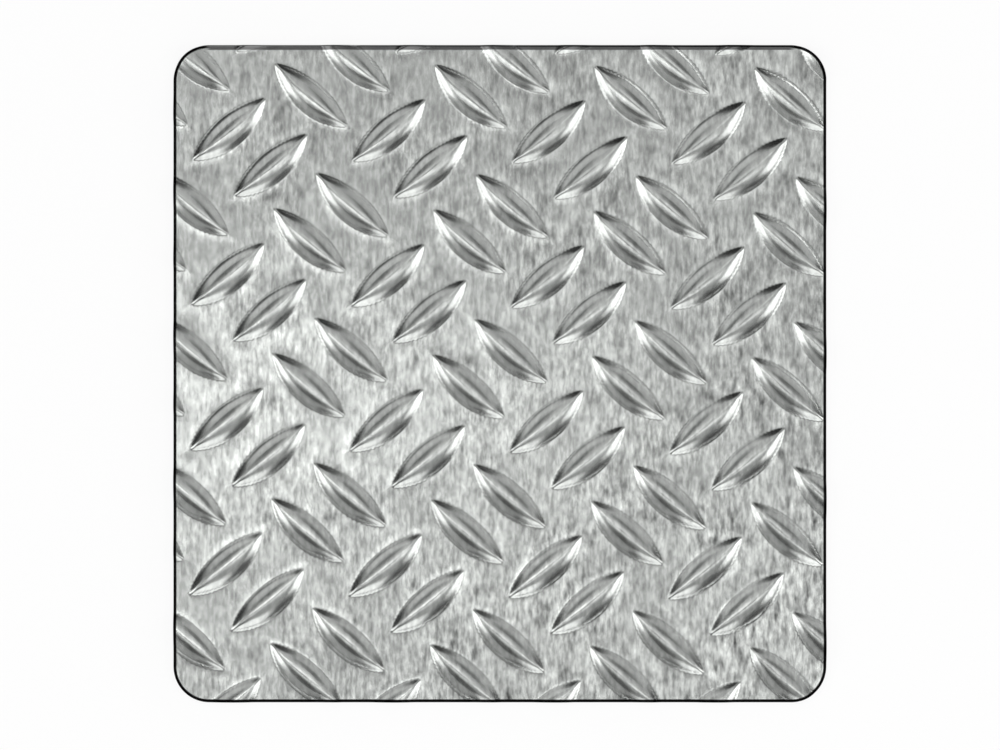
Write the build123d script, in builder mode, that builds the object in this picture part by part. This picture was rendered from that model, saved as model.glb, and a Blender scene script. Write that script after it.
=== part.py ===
from build123d import *
import os
from math import asin, ceil, cos, degrees, radians, sin

# A flat aluminium sheet with a tread pattern of raised two-bar groups on its face and a plain back.
# The origin is the centre of the back. +X is across the sheet, +Y along it, +Z out of the embossed face.

# Sheet, in millimetres
sheet_width = 180.0
sheet_length = 181.2
corner_radius = 9.9
base_thickness = 2.0
back_edge_break = 0.3

# One bar: a pointed lens in plan, between two arcs of which the lower bulges more. The line through its tips
# runs a little above its middle. It has a steep flank and a crown that rises to a low ridge, and root_depth
# sinks it into the sheet.
bar_length = 28.0
bar_width = 9.3
tip_line_height = 0.8
flank_run = 1.3
flank_rise = 0.9
crown_rise = 1.0
root_depth = 0.6

# Each side of a bar is turned past the tips, in degrees, and reaches past the other side, in bar widths
turn_overrun = 5.0
side_reach = 1.2

# The pattern: each cell holds a right-leaning pair and, about half a cell away, its mirror image, a
# little lower and to the left. shortest_tip is the least length of a cut bar that stays on the sheet.
cell_width = 44.05
cell_length = 39.95
bar_lean = 40.8
pair_step_x = 5.8
pair_step_y = -4.92
left_pair_slip = 0.4
left_pair_drop = 0.62
pattern_turn = -0.47
pattern_shift_x = 19.02
pattern_shift_y = -18.64
shortest_tip = 1.0

half_length = bar_length / 2
crown_slope = crown_rise / (bar_width / 2 - flank_run)
relief = flank_rise + crown_rise


def turned_side(side):
    """Solid turned about the axis of the upper (+1) or lower (-1) arc."""
    arc_rise = bar_width / 2 - side * tip_line_height
    arc_radius = (half_length**2 + arc_rise**2) / (2 * arc_rise)
    inner_radius = arc_radius - side_reach * bar_width
    crown_run = arc_radius - flank_run - inner_radius
    half_angle = degrees(asin(half_length / arc_radius)) + turn_overrun
    with BuildPart() as turned:
        with BuildSketch(Plane.XZ):
            with BuildLine():
                Polyline(
                    (inner_radius, -root_depth),
                    (arc_radius, -root_depth),
                    (arc_radius, 0),
                    (arc_radius - flank_run, flank_rise),
                    (inner_radius, flank_rise + crown_slope * crown_run),
                    close=True,
                )
            make_face()
        revolve(axis=Axis.Z, revolution_arc=2 * half_angle)
    start = Location((0, tip_line_height - side * (arc_radius - arc_rise), 0), (0, 0, side * 90 - half_angle))
    return start * turned.part


# The bar is what the two turned sides have in common
with BuildPart() as bar:
    add(turned_side(1))
    add(turned_side(-1), mode=Mode.INTERSECT)

# The cells run past every edge of the sheet, and a bar that the cut would only touch is left off.
columns = range(-ceil(sheet_width / cell_width), ceil(sheet_width / cell_width) + 1)
rows = range(-ceil(sheet_length / cell_length), ceil(sheet_length / cell_length) + 1)
reach_x = sheet_width / 2 + half_length * cos(radians(bar_lean)) - shortest_tip
reach_y = sheet_length / 2 + half_length * sin(radians(bar_lean)) - shortest_tip
face_level = Location((pattern_shift_x, pattern_shift_y, base_thickness), (0, 0, pattern_turn))


def pair(middle, lean_sign):
    """Places of the two bars of the pair about a point, leaning right for +1 and left for -1."""
    return [
        face_level
        * Location(middle)
        * Location((side * lean_sign * pair_step_x, side * pair_step_y, 0), (0, 0, lean_sign * bar_lean))
        for side in (1, -1)
    ]


bar_places = []
for column in columns:
    for row in rows:
        corner_x = column * cell_width
        corner_y = row * cell_length
        bar_places += pair((corner_x, corner_y, 0), 1)
        mirror_x = corner_x + cell_width / 2 - left_pair_slip
        mirror_y = corner_y + cell_length / 2 - left_pair_drop
        bar_places += pair((mirror_x, mirror_y, 0), -1)
bar_places = [
    place for place in bar_places if abs(place.position.X) < reach_x and abs(place.position.Y) < reach_y
]

with BuildPart() as pattern:
    with Locations(*bar_places):
        add(bar.part)
    with BuildSketch(Plane.XY):
        RectangleRounded(sheet_width, sheet_length, corner_radius)
    extrude(amount=base_thickness + relief, mode=Mode.INTERSECT)

with BuildPart() as embossed_sheet:
    with BuildSketch(Plane.XY):
        RectangleRounded(sheet_width, sheet_length, corner_radius)
    extrude(amount=base_thickness)
    chamfer(embossed_sheet.faces().sort_by(Axis.Z)[0].edges(), length=back_edge_break)
    add(pattern.part)

embossed_sheet.part.label = "embossed_sheet"
os.makedirs("parts", exist_ok=True)
export_step(embossed_sheet.part, "parts/embossed_sheet.step")
print("bars placed", len(bar_places), "volume", embossed_sheet.part.volume, "faces", len(embossed_sheet.faces()))
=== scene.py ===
# Embossed aluminium sheet, lying face up on a white studio floor and seen from straight above.
# Lengths are in millimetres until they go into a mesh, and every mesh is in metres.
import math

import bmesh
import bpy
import numpy as np
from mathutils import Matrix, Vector
from mathutils.geometry import delaunay_2d_cdt


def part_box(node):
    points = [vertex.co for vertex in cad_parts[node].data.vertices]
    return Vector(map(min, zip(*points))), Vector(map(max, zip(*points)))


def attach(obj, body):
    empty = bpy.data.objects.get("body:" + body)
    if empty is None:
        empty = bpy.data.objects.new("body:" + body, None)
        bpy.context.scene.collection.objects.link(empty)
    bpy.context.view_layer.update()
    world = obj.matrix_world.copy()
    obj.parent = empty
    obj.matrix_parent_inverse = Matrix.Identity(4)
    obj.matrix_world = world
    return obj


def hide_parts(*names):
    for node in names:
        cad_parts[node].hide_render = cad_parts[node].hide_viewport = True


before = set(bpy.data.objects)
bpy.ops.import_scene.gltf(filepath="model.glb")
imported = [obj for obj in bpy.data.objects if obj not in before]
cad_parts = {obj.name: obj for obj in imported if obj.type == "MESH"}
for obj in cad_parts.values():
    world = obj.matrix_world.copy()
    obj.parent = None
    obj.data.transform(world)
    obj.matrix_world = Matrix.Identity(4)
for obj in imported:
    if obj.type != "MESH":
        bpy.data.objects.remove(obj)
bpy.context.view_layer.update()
mm = 0.001
low, high = (np.array(corner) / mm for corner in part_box("embossed_sheet"))
print("frame loaded, sheet", (high - low).round(2), "mm")

# What a user would change on the sheet
sheet = {
    "width": high[0] - low[0],
    "length": high[1] - low[1],
    "webTop": 2.0,  # height of the flat web between the bars
    "cornerRadius": 9.9,
    "cornerPoints": 33,
    "rimRadius": 0.35,  # the cut edge is rounded over by this much
    "rimRows": 4,
    "rimMargin": 0.25,  # the bars' grid points keep this far off the rounded edge
    "edgeStep": 0.55,  # spacing of points round the edge
    "backBreak": 0.3,
    "sharpAngle": 40,  # edges that turn by more degrees than this are shown sharp
}

# One bar is a pointed lens between two arcs, of which the lower bulges more. Seen across, it has a wide,
# low foot, a steep flank, a shoulder and a crown that rises to a soft ridge.
bar = {
    "chord": 28.0,  # the arcs meet over this length
    "width": 9.3,
    "tipLine": 0.8,  # how far the line through the tips lies above the middle of the bar
    "tipRadius": 0.2,
    "ridgeRadius": 0.85,  # the ridge is this soft in the middle and sharper towards the tips
    # Each part of the section starts and ends this far inside the outline and rises by this much. The last
    # two numbers are how softly it starts and ends.
    "parts": (
        (-1.2, 0.2, 0.15, 0.5, 0.08),  # foot
        (0.2, 1.3, 0.80, 0.08, 0.25),  # flank
        (1.3, 2.6, 0.50, 0.25, 0.1),  # shoulder
        (2.6, 4.3, 0.50, 0.1, 0.2),  # crown
    ),
    "columns": 25,
    "crowding": 0.35,  # how much closer the columns stand towards the tips
    "claimMargin": 0.05,  # a grid point that lies this much deeper in a neighbouring bar is left to it
    "rows": (-2.6, -1.7, -1.0, -0.5, -0.15, 0.04, 0.14, 0.24, 0.36, 0.55, 0.8, 1.05, 1.2, 1.35, 1.55)
    + (1.85, 2.2, 2.6, 3.0, 3.4, 3.8, 4.2),
}

# The pattern's cell holds a right-leaning pair, and about half a cell away its mirror image, a little lower
# and to the left
pattern = {
    "cellWidth": 44.05,
    "cellLength": 39.95,
    "lean": 40.8,
    "pairStepX": 5.8,
    "pairStepY": -4.92,
    "leftPairSlip": 0.4,
    "leftPairDrop": 0.62,
    "turn": -0.47,
    "shiftX": 19.02,
    "shiftY": -18.64,
}

cell = (pattern["cellWidth"], pattern["cellLength"])
turnCos = math.cos(math.radians(pattern["turn"]))
turnSin = math.sin(math.radians(pattern["turn"]))


def barKinds():
    # The four bars of a cell: middle x, middle y and lean in radians
    kinds = []
    mirrorX = cell[0] / 2 - pattern["leftPairSlip"]
    mirrorY = cell[1] / 2 - pattern["leftPairDrop"]
    for sign, cornerX, cornerY in ((1, 0, 0), (-1, mirrorX, mirrorY)):
        for side in (1, -1):
            middleX = cornerX + side * sign * pattern["pairStepX"]
            middleY = cornerY + side * pattern["pairStepY"]
            kinds.append((middleX, middleY, sign * math.radians(pattern["lean"])))
    return kinds


def barArc(side):
    # Radius of the bar's upper (+1) or lower (-1) arc and how far its axis is from the line of the tips.
    # An arc of half length a and rise b has the radius (a^2 + b^2) / 2b.
    rise = bar["width"] / 2 - side * bar["tipLine"]
    radius = ((bar["chord"] / 2) ** 2 + rise**2) / (2 * rise)
    return radius, radius - rise


def lensInset(along, across):
    # How far inside each arc, a and b, and their soft minimum: (a + b - sqrt((a - b)^2 + (2 r)^2)) / 2.
    # The softness r grows from the tips to the middle by 1 - (along / half length)^2.
    (upRadius, upAxis), (lowRadius, lowAxis) = barArc(1), barArc(-1)
    above = across - bar["tipLine"]
    inUpper = upRadius - np.hypot(along, above + upAxis)
    inLower = lowRadius - np.hypot(along, above - lowAxis)
    middle = np.maximum(1 - (along / (bar["chord"] / 2)) ** 2, 0)
    soft = bar["tipRadius"] + (bar["ridgeRadius"] - bar["tipRadius"]) * middle
    return (inUpper + inLower - np.hypot(inUpper - inLower, 2 * soft)) / 2


def barInset(x, y):
    # How far each point lies inside the outline of the bar nearest to it. Remainders repeat the cell over
    # the sheet.
    px = (x - pattern["shiftX"]) * turnCos + (y - pattern["shiftY"]) * turnSin
    py = (y - pattern["shiftY"]) * turnCos - (x - pattern["shiftX"]) * turnSin
    farOutside = -1000.0
    nearest = np.full(np.shape(x), farOutside)
    for middleX, middleY, lean in barKinds():
        dx = (px - middleX + cell[0] / 2) % cell[0] - cell[0] / 2
        dy = (py - middleY + cell[1] / 2) % cell[1] - cell[1] / 2
        along = dx * math.cos(lean) + dy * math.sin(lean)
        across = dy * math.cos(lean) - dx * math.sin(lean)
        nearest = np.maximum(nearest, lensInset(along, across))
    return nearest


def softHinge(x, soft):
    # 0 well below x = 0, x well above it and smooth between: soft * log(1 + e^(x / soft))
    return soft * np.logaddexp(0, x / soft)


def topHeight(x, y):
    # The face's height: the web, plus each part of the bar's section, which is its rise times a ramp from
    # 0 to 1. A ramp is the difference of two soft hinges.
    inset = barInset(x, y)
    height = np.full(np.shape(x), sheet["webTop"])
    for start, end, rise, startSoft, endSoft in bar["parts"]:
        climb = softHinge(inset - start, startSoft) - softHinge(inset - end, endSoft)
        height = height + rise * climb / (end - start)
    return height


def topNormals(x, y):
    # The face's normal, from the height's differences over a small step
    step = 0.01
    slopeX = (topHeight(x + step, y) - topHeight(x - step, y)) / (2 * step)
    slopeY = (topHeight(x, y + step) - topHeight(x, y - step)) / (2 * step)
    normals = np.column_stack([-slopeX, -slopeY, np.ones_like(slopeX)])
    return normals / np.linalg.norm(normals, axis=1)[:, None]


def barNet():
    # Points of every bar on a grid of two parameters: u along the bar from tip to tip, and the inset from
    # its outline. At each inset the outline is two arcs of that much less radius, as far as they cross.
    (upRadius, upAxis), (lowRadius, lowAxis) = barArc(1), barArc(-1)
    insets = np.array(bar["rows"])[:, None]
    up, low = upRadius - insets, lowRadius - insets
    tipAbove = (up**2 - low**2 - upAxis**2 + lowAxis**2) / (2 * (upAxis + lowAxis))
    tipAlong = np.sqrt(up**2 - (tipAbove + upAxis) ** 2)
    step = np.linspace(-1, 1, bar["columns"])
    u = (1 - bar["crowding"]) * step + bar["crowding"] * np.sin(step * math.pi / 2)
    upAngle = np.arctan2(tipAlong, tipAbove + upAxis) * u
    lowAngle = np.arctan2(tipAlong, lowAxis - tipAbove) * u[1:-1]
    along = np.concatenate([(up * np.sin(upAngle)).ravel(), (low * np.sin(lowAngle)).ravel()])
    upperAbove = up * np.cos(upAngle) - upAxis
    lowerAbove = lowAxis - low * np.cos(lowAngle)
    across = np.concatenate([upperAbove.ravel(), lowerAbove.ravel()]) + bar["tipLine"]
    own = np.concatenate([(insets + 0 * upAngle).ravel(), (insets + 0 * lowAngle).ravel()])
    spanX = math.ceil(sheet["width"] / cell[0])
    spanY = math.ceil(sheet["length"] / cell[1])
    cellsAcross = np.arange(-spanX, spanX + 1) * cell[0]
    cellsUp = np.arange(-spanY, spanY + 1) * cell[1]
    cellX, cellY = np.meshgrid(cellsAcross, cellsUp)
    netX, netY = [], []
    for middleX, middleY, lean in barKinds():
        x = middleX + along * math.cos(lean) - across * math.sin(lean)
        y = middleY + along * math.sin(lean) + across * math.cos(lean)
        netX.append(cellX.ravel()[:, None] + x[None, :])
        netY.append(cellY.ravel()[:, None] + y[None, :])
    px, py = np.stack(netX).reshape(-1, own.size), np.stack(netY).reshape(-1, own.size)
    x = pattern["shiftX"] + px * turnCos - py * turnSin
    y = pattern["shiftY"] + px * turnSin + py * turnCos
    # a point that a neighbouring bar claims is left to it
    onSheet = outlineInset(x, y) > sheet["rimRadius"] + sheet["rimMargin"]
    keep = onSheet & (barInset(x, y) < own + bar["claimMargin"])
    return x[keep], y[keep]


def edgePath():
    # Points round the sheet's outline, evenly spaced: four corner arcs joined by straight sides
    radius = sheet["cornerRadius"]
    coreX, coreY = sheet["width"] / 2 - radius, sheet["length"] / 2 - radius
    quarter = np.linspace(0, math.pi / 2, sheet["cornerPoints"])
    turns = np.concatenate([quarter + k * math.pi / 2 for k in range(4)])
    signX = np.repeat([1, -1, -1, 1], quarter.size)
    signY = np.repeat([1, 1, -1, -1], quarter.size)
    x = np.append(signX * coreX + radius * np.cos(turns), coreX + radius)
    y = np.append(signY * coreY + radius * np.sin(turns), coreY)
    run = np.append(0, np.cumsum(np.hypot(np.diff(x), np.diff(y))))
    count = int(run[-1] / sheet["edgeStep"])
    at = np.arange(count) * run[-1] / count
    return np.interp(at, run, x), np.interp(at, run, y)


def edgeRing(inset):
    # The outline moved inwards: each point slides along the line to its corner's centre, or straight in
    radius = sheet["cornerRadius"]
    x, y = edgePath()
    coreX = np.clip(x, radius - sheet["width"] / 2, sheet["width"] / 2 - radius)
    coreY = np.clip(y, radius - sheet["length"] / 2, sheet["length"] / 2 - radius)
    keep = 1 - inset / np.hypot(x - coreX, y - coreY)
    return coreX + (x - coreX) * keep, coreY + (y - coreY) * keep


def outlineInset(x, y):
    # How far a point lies inside the sheet's outline, by the distance formula of a rounded rectangle
    radius = sheet["cornerRadius"]
    qx = np.abs(x) - (sheet["width"] / 2 - radius)
    qy = np.abs(y) - (sheet["length"] / 2 - radius)
    outside = np.hypot(np.maximum(qx, 0), np.maximum(qy, 0))
    return radius - outside - np.minimum(np.maximum(qx, qy), 0)


def delaunay(x, y, ringSize):
    # Triangles over flat points, whose first ringSize points are the closed boundary
    points = np.column_stack([x, y]).tolist()
    onlyInside, nearness = 1, 1e-7
    found = delaunay_2d_cdt(points, [], [list(range(ringSize))], onlyInside, nearness, False)
    return np.array(found[0]), np.array(found[2])


def stripFaces(rows, columns, first):
    # Quads of a strip that closes on itself, row by row
    here = first + np.arange(rows * columns).reshape(rows, columns)
    beside = np.roll(here, -1, axis=1)
    return np.stack([here[:-1], here[1:], beside[1:], beside[:-1]], axis=-1).reshape(-1, 4)


def makeSheet():
    # The face is a net over the bars' grid points. The edge is a profile carried round the outline: a
    # quarter round, the cut wall and the break of the back's edge. The back is flat.
    ringX, ringY = edgeRing(sheet["rimRadius"])
    x, y = barNet()
    flatXY, topFaces = delaunay(np.append(ringX, x), np.append(ringY, y), ringX.size)
    top = np.column_stack([flatXY, topHeight(flatXY[:, 0], flatXY[:, 1])])
    turns = np.linspace(0, math.pi / 2, sheet["rimRows"] + 1)
    rimInsets = sheet["rimRadius"] * (1 - np.sin(turns))
    rimDrops = sheet["rimRadius"] * (1 - np.cos(turns))
    rows = []
    for inset, drop in zip(rimInsets, rimDrops):
        rowX, rowY = edgeRing(inset)
        rows.append(np.column_stack([rowX, rowY, topHeight(rowX, rowY) - drop]))
    for share in (0.5, 0.0):
        wall = rows[sheet["rimRows"]].copy()
        wall[:, 2] = sheet["backBreak"] + (wall[:, 2] - sheet["backBreak"]) * share
        rows.append(wall)
    backX, backY = edgeRing(sheet["backBreak"])
    rows.append(np.column_stack([backX, backY, np.zeros(backX.size)]))
    edge = np.concatenate(rows)
    edgeFaces = stripFaces(len(rows), ringX.size, len(top))
    backXY, backFaces = delaunay(backX, backY, backX.size)
    back = np.column_stack([backXY, np.zeros(len(backXY))])
    points = np.concatenate([top, edge, back]) * mm
    faces = topFaces.tolist() + edgeFaces.tolist() + (backFaces[:, ::-1] + len(top) + len(edge)).tolist()
    mesh = bpy.data.meshes.new("embossedSheet")
    mesh.from_pydata(points.tolist(), [], faces)
    work = bmesh.new()
    work.from_mesh(mesh)
    doubleDistance = 1e-6
    bmesh.ops.remove_doubles(work, verts=work.verts, dist=doubleDistance)
    bmesh.ops.recalc_face_normals(work, faces=work.faces)
    work.to_mesh(mesh)
    work.free()
    mesh.shade_smooth()
    mesh.set_sharp_from_angle(angle=math.radians(sheet["sharpAngle"]))
    # the face's points get their exact normals, and a zero normal is left to Blender
    places = np.empty(len(mesh.vertices) * 3)
    mesh.vertices.foreach_get("co", places)
    x, y, z = places.reshape(-1, 3).T / mm
    slack = 0.01
    onFace = (outlineInset(x, y) > sheet["rimRadius"] - slack) & (z > sheet["webTop"] - slack)
    normals = topNormals(x, y) * onFace[:, None]
    mesh.normals_split_custom_set_from_vertices(normals.tolist())
    piece = bpy.data.objects.new("embossedSheet", mesh)
    bpy.context.scene.collection.objects.link(piece)
    print("sheet mesh", len(mesh.vertices), "points", len(mesh.polygons), "faces")
    return piece


class Wire:
    # A socket of a material's nodes. Sums and products of wires add the Math nodes for them.
    def __init__(self, tree, socket=None):
        self.tree = tree
        self.socket = socket

    def node(self, kind, settings=None, values=None, out=0):
        made = self.tree.nodes.new(kind)
        for name, value in (settings or {}).items():
            setattr(made, name, value)
        for name, value in (values or {}).items():
            if isinstance(value, Wire):
                self.tree.links.new(value.socket, made.inputs[name])
            else:
                made.inputs[name].default_value = value
        return Wire(self.tree, made.outputs[out])

    def math(self, operation, *parts):
        return self.node("ShaderNodeMath", {"operation": operation}, dict(enumerate(parts)))

    def vector(self, operation, *parts):
        return self.node("ShaderNodeVectorMath", {"operation": operation}, dict(enumerate(parts)))

    def __add__(self, other):
        return self.math("ADD", self, other)

    def __radd__(self, other):
        return self.math("ADD", other, self)

    def __sub__(self, other):
        return self.math("SUBTRACT", self, other)

    def __rsub__(self, other):
        return self.math("SUBTRACT", other, self)

    def __mul__(self, other):
        return self.math("MULTIPLY", self, other)

    def __rmul__(self, other):
        return self.math("MULTIPLY", other, self)

    def ramp(self, start, end):
        # 0 below start, 1 above end and smooth between
        return self.node(
            "ShaderNodeMapRange",
            {"interpolation_type": "SMOOTHSTEP"},
            {"Value": self, "From Min": start, "From Max": end},
        )

    def noise(self, stretch, detail=2.0, shift=0.0):
        # Cloudy noise about zero. stretch gives the size of a cloud along X, Y and Z in millimetres
        scale = [1000 / size for size in stretch]
        place = self.vector("ADD", self.vector("MULTIPLY", self, scale), (shift, shift, shift))
        return self.node("ShaderNodeTexNoise", {}, {"Vector": place, "Scale": 1.0, "Detail": detail}) - 0.5

    def mix(self, a, b):
        # From a to b as this wire goes from 0 to 1
        return self.node(
            "ShaderNodeMix",
            {"data_type": "RGBA"},
            {"Factor": self, "A": a, "B": b},
            out="Result",
        )

    def scaled(self, color):
        # The colour times this wire
        return self.node("ShaderNodeVectorMath", {"operation": "SCALE"}, {"Vector": color, "Scale": self})

    def feed(self, shader, name):
        self.tree.links.new(self.socket, shader.inputs[name])


# The metal's finish: rolled grain along Y that is strong on the web and faint on the bars
metal = {
    "color": (0.50, 0.515, 0.50),
    "roughness": 0.26,
    "barRoughness": 0.21,  # the bars are burnished
    "fineGrain": (1.0, 3.0, 3.0),  # size of a stroke in millimetres
    "fineContrast": 1.5,
    "blotches": (2.8, 4.5, 4.5),
    "blotchContrast": 1.15,
    "longGrain": (1.5, 14.0, 14.0),
    "longContrast": 0.8,
    "patches": (26.0, 26.0, 26.0),  # where the grain is stronger or weaker
    "patchContrast": 1.6,
    "cornerGrain": 0.35,  # how much stronger it gets towards the lower right corner
    "barGrain": 0.35,  # how much of the grain is left on top of a bar
    "barStart": 0.02,  # the finish turns from the web's to the bars' between these heights over the web
    "barFull": 0.25,
    "waves": (7.0, 7.0, 7.0),
    "waveHeight": 0.04,  # in millimetres
    # painted shade: the cut edge's shadow is painted as a black band along the outline on the face
    "edgeShadeColor": (0.003, 0.003, 0.003, 1),
    "edgeShadeWidth": 0.85,
    "edgeSoftness": 0.12,
    # painted shade of the top edge: a wider band, grey inside and lighter towards the left
    "topEdgeShadeWidth": 1.35,
    "topEdgeEnds": (-0.5, 1.5),  # it fades out between these distances past the start of a corner's round
    "topInnerStart": (0.45, 0.65),  # its inner part sets in between these distances from the edge
    "topInnerShadeTone": 0.12,
    "topOuterShadeTone": 0.20,  # at the left end, and none is left at the right end
}


def makeMetal():
    material = bpy.data.materials.new("rolledAluminium")
    material.use_nodes = True
    tree = material.node_tree
    shader = tree.nodes["Principled BSDF"]
    place = Wire(tree).node("ShaderNodeTexCoord", out="Object")
    parts = tree.nodes.new("ShaderNodeSeparateXYZ")
    tree.links.new(place.socket, parts.inputs[0])
    x, y, z = (Wire(tree, parts.outputs[k]) * 1000 for k in range(3))

    onBar = z.ramp(sheet["webTop"] + metal["barStart"], sheet["webTop"] + metal["barFull"])
    grain = metal["fineContrast"] * place.noise(metal["fineGrain"])
    grain = grain + metal["blotchContrast"] * place.noise(metal["blotches"], detail=2.0, shift=3.0)
    grain = grain + metal["longContrast"] * place.noise(metal["longGrain"], detail=3.0, shift=7.0)
    corner = (x * (1 / sheet["width"]) - y * (1 / sheet["length"])) * metal["cornerGrain"]
    patches = place.noise(metal["patches"], detail=1.0, shift=11.0)
    strength = 1 + corner + metal["patchContrast"] * patches
    tone = 1 + grain * strength * (1 - (1 - metal["barGrain"]) * onBar)
    toned = tone.scaled(metal["color"])

    # painted shade of the cut edge: a black band painted along the outline on the face, by the distance
    # formula of a rounded rectangle
    radius = sheet["cornerRadius"]
    coreX, coreY = sheet["width"] / 2 - radius, sheet["length"] / 2 - radius
    qx = x.math("ABSOLUTE", x) - coreX
    qy = y.math("ABSOLUTE", y) - coreY
    cornerX, cornerY = qx.math("MAXIMUM", qx, 0), qy.math("MAXIMUM", qy, 0)
    outside = (cornerX * cornerX + cornerY * cornerY).math("SQRT", cornerX * cornerX + cornerY * cornerY)
    most = qx.math("MAXIMUM", qx, qy)
    inset = radius - outside - most.math("MINIMUM", most, 0)
    soft = metal["edgeSoftness"]
    edge = 1 - inset.ramp(metal["edgeShadeWidth"] - soft, metal["edgeShadeWidth"] + soft)
    # along the top side the painted shade is wider and grey inside, and its outer half fades from grey at the
    # left to black
    topInset = sheet["length"] / 2 - y
    straight = 1 - qx.ramp(*metal["topEdgeEnds"])
    topEdgeShade = straight * (1 - topInset.ramp(metal["topEdgeShadeWidth"] - soft, metal["topEdgeShadeWidth"] + soft))
    toRight = 0.5 - x * (1 / sheet["width"])
    inner = topInset.ramp(*metal["topInnerStart"])
    topShadeTone = metal["topOuterShadeTone"] * toRight * toRight * (1 - inner) + metal["topInnerShadeTone"] * inner
    topShadeColor = topShadeTone.scaled((1.0, 1.0, 1.0))
    # the base colour is the grain with the painted edge shade laid over it
    topEdgeShade.mix(edge.mix(toned, metal["edgeShadeColor"]), topShadeColor).feed(shader, "Base Color")

    # slow waves of the rolled face, which make the bars' lights irregular
    waves = place.noise(metal["waves"], detail=1.0, shift=5.0) * (metal["waveHeight"] * mm)
    bump = place.node("ShaderNodeBump", {}, {"Height": waves, "Strength": 1.0, "Distance": 1.0})
    bump.feed(shader, "Normal")
    shader.inputs["Metallic"].default_value = 1.0
    roughness = metal["roughness"] + (metal["barRoughness"] - metal["roughness"]) * onBar
    roughness.feed(shader, "Roughness")
    return material


piece = makeSheet()
piece.data.materials.append(makeMetal())
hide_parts("embossed_sheet")
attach(piece, "root")
print("sheet made and finished")

# The studio: three rings of flat soft boxes that face the sheet, low walls, boxes and top boxes. A ring's
# boxes share one height over the floor in degrees and one width and height in metres. Each has its
# direction in degrees, east of the picture being 0, and its brightness, where 1 shows white. A slope mirrors
# the box that it faces: the walls light the flanks, the boxes the shoulders and tips, and the top boxes the
# crowns and the web. The low north west and the high south west are left dark.
studio = {
    "distance": 2.0,  # from the sheet's middle to each box
    "rings": {
        "Wall": {
            "height": 9,
            "size": (3.0, 0.5),
            "boxes": {"east": (0, 5.0), "northEast": (45, 5.0), "southWest": (225, 2.0), "south": (280, 6.0)},
        },
        "Box": {
            "height": 38,
            "size": (1.1, 1.0),
            "boxes": {
                "east": (345, 2.5),
                "northEast": (45, 0.7),
                "northWest": (130, 0.9),
                "west": (190, 2.5),
                "southWest": (225, 0.5),
                "south": (275, 1.8),
            },
        },
        "TopBox": {
            "height": 68,
            "size": (1.2, 1.3),
            "boxes": {"east": (0, 0.6), "north": (90, 0.75), "west": (180, 0.45), "south": (290, 0.45)},
        },
    },
    # Three narrow bars hang over the sheet, face down. The first two make the bright band across it and the
    # last lights its lower part: middle x, y and z, length along X and width in metres, and brightness
    "bars": {
        "glareBar": (-0.15, -0.01, 0.4, 0.2, 0.03, 3.5),
        "faintGlareBar": (0.0, -0.01, 0.4, 0.1, 0.03, 2.0),
        "lowerBar": (0.0, -0.13, 0.6, 0.7, 0.05, 1.2),
    },
    "dimRoom": 0.01,  # the world's own light
    "floorSize": 12.0,
    "floorColor": (0.9, 0.9, 0.9, 1),
    "floorRoughness": 0.9,
    "floorGlow": 0.9,  # how much of the floor's look is plain white
    "lens": 200.0,
    "sensorWidth": 36.0,
    "nearest": 0.05,  # nothing closer to the camera is drawn
    "viewWidth": 275.65,  # millimetres of the sheet's plane across the picture
    "viewShiftX": 0.03,
    "viewShiftY": -0.36,
}


def makeLamp(name, place, way, sizeX, sizeY, brightness):
    # A face of brightness b gives a flat lamp the power pi * b * area. It faces against the way to it.
    data = bpy.data.lights.new(name, "AREA")
    data.shape = "RECTANGLE"
    data.size = sizeX
    data.size_y = sizeY
    data.energy = math.pi * brightness * sizeX * sizeY
    lamp = bpy.data.objects.new(name, data)
    bpy.context.scene.collection.objects.link(lamp)
    lamp.location = place
    lamp.rotation_euler = way.to_track_quat("Z", "Y").to_euler()
    lamp.visible_camera = False


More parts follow.
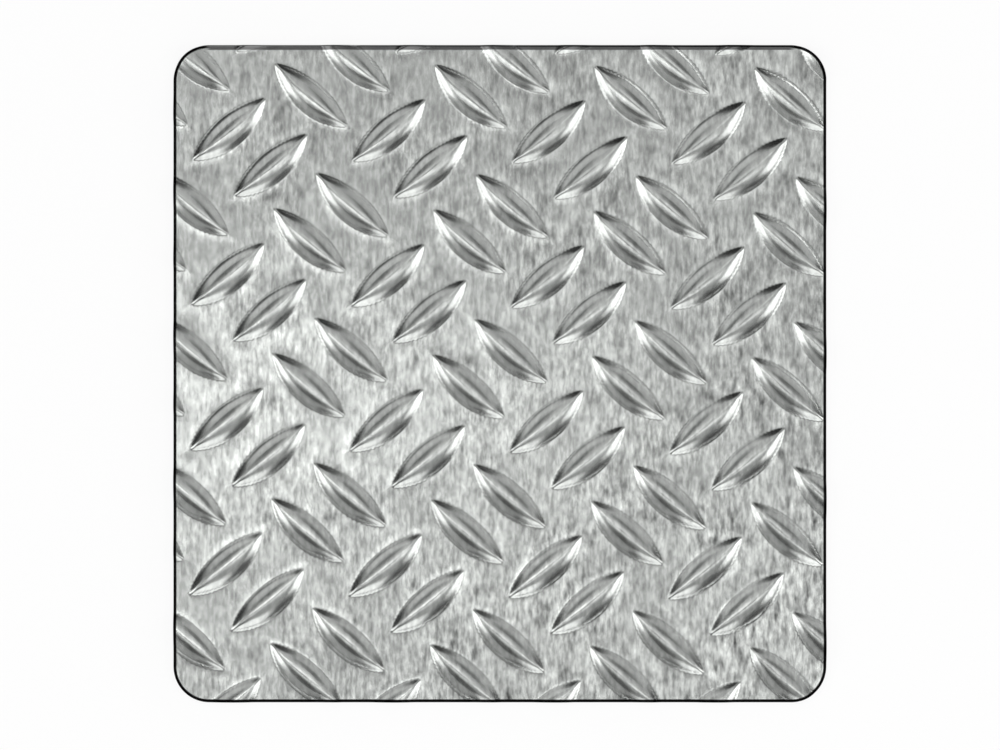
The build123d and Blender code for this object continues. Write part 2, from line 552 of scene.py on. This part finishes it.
def makeFloor():
    # Seen directly or mirrored the floor is nearly plain white, and the rest of its look keeps the shadow
    half = studio["floorSize"] / 2
    mesh = bpy.data.meshes.new("floor")
    corners = [(-half, -half, 0), (half, -half, 0), (half, half, 0), (-half, half, 0)]
    mesh.from_pydata(corners, [], [(0, 1, 2, 3)])
    floor = bpy.data.objects.new("floor", mesh)
    bpy.context.scene.collection.objects.link(floor)
    material = bpy.data.materials.new("whiteFloor")
    material.use_nodes = True
    tree = material.node_tree
    shader = tree.nodes["Principled BSDF"]
    shader.inputs["Base Color"].default_value = studio["floorColor"]
    shader.inputs["Roughness"].default_value = studio["floorRoughness"]
    start = Wire(tree)
    path = tree.nodes.new("ShaderNodeLightPath")
    seen = Wire(tree, path.outputs["Is Camera Ray"])
    for name in ("Is Glossy Ray", "Is Transmission Ray"):
        seen = seen.math("MAXIMUM", seen, Wire(tree, path.outputs[name]))
    glow = start.node("ShaderNodeEmission", {}, {"Color": (1, 1, 1, 1), "Strength": 1.0})
    lit = Wire(tree, shader.outputs[0])
    both = start.node("ShaderNodeMixShader", {}, {0: seen * studio["floorGlow"], 1: lit, 2: glow})
    tree.links.new(both.socket, tree.nodes["Material Output"].inputs["Surface"])
    mesh.materials.append(material)


def makeCamera():
    # The camera looks straight down, and the picture shows viewWidth at the web's height:
    # distance = viewWidth * lens / sensorWidth
    data = bpy.data.cameras.new("camera")
    camera = bpy.data.objects.new("camera", data)
    bpy.context.scene.collection.objects.link(camera)
    data.lens = studio["lens"]
    data.sensor_width = studio["sensorWidth"]
    distance = studio["viewWidth"] * studio["lens"] / studio["sensorWidth"]
    height = sheet["webTop"] + distance
    camera.location = (studio["viewShiftX"] * mm, studio["viewShiftY"] * mm, height * mm)
    data.clip_start = studio["nearest"]
    bpy.context.scene.camera = camera


# the way to a box: cos(turn) cos(rise), sin(turn) cos(rise), sin(rise)
for kind, ring in studio["rings"].items():
    rise = math.radians(ring["height"])
    for side, (azimuth, brightness) in ring["boxes"].items():
        turn = math.radians(azimuth)
        way = Vector((math.cos(turn) * math.cos(rise), math.sin(turn) * math.cos(rise), math.sin(rise)))
        makeLamp(side + kind, way * studio["distance"], way, *ring["size"], brightness)
for name, (x, y, z, sizeX, sizeY, brightness) in studio["bars"].items():
    makeLamp(name, (x, y, z), Vector((0, 0, 1)), sizeX, sizeY, brightness)
makeFloor()
makeCamera()
world = bpy.data.worlds.new("studio")
world.use_nodes = True
background = world.node_tree.nodes["Background"]
background.inputs["Color"].default_value = (1, 1, 1, 1)
background.inputs["Strength"].default_value = studio["dimRoom"]
bpy.context.scene.world = world
bpy.context.scene.view_settings.view_transform = "Standard"
print("studio ready")
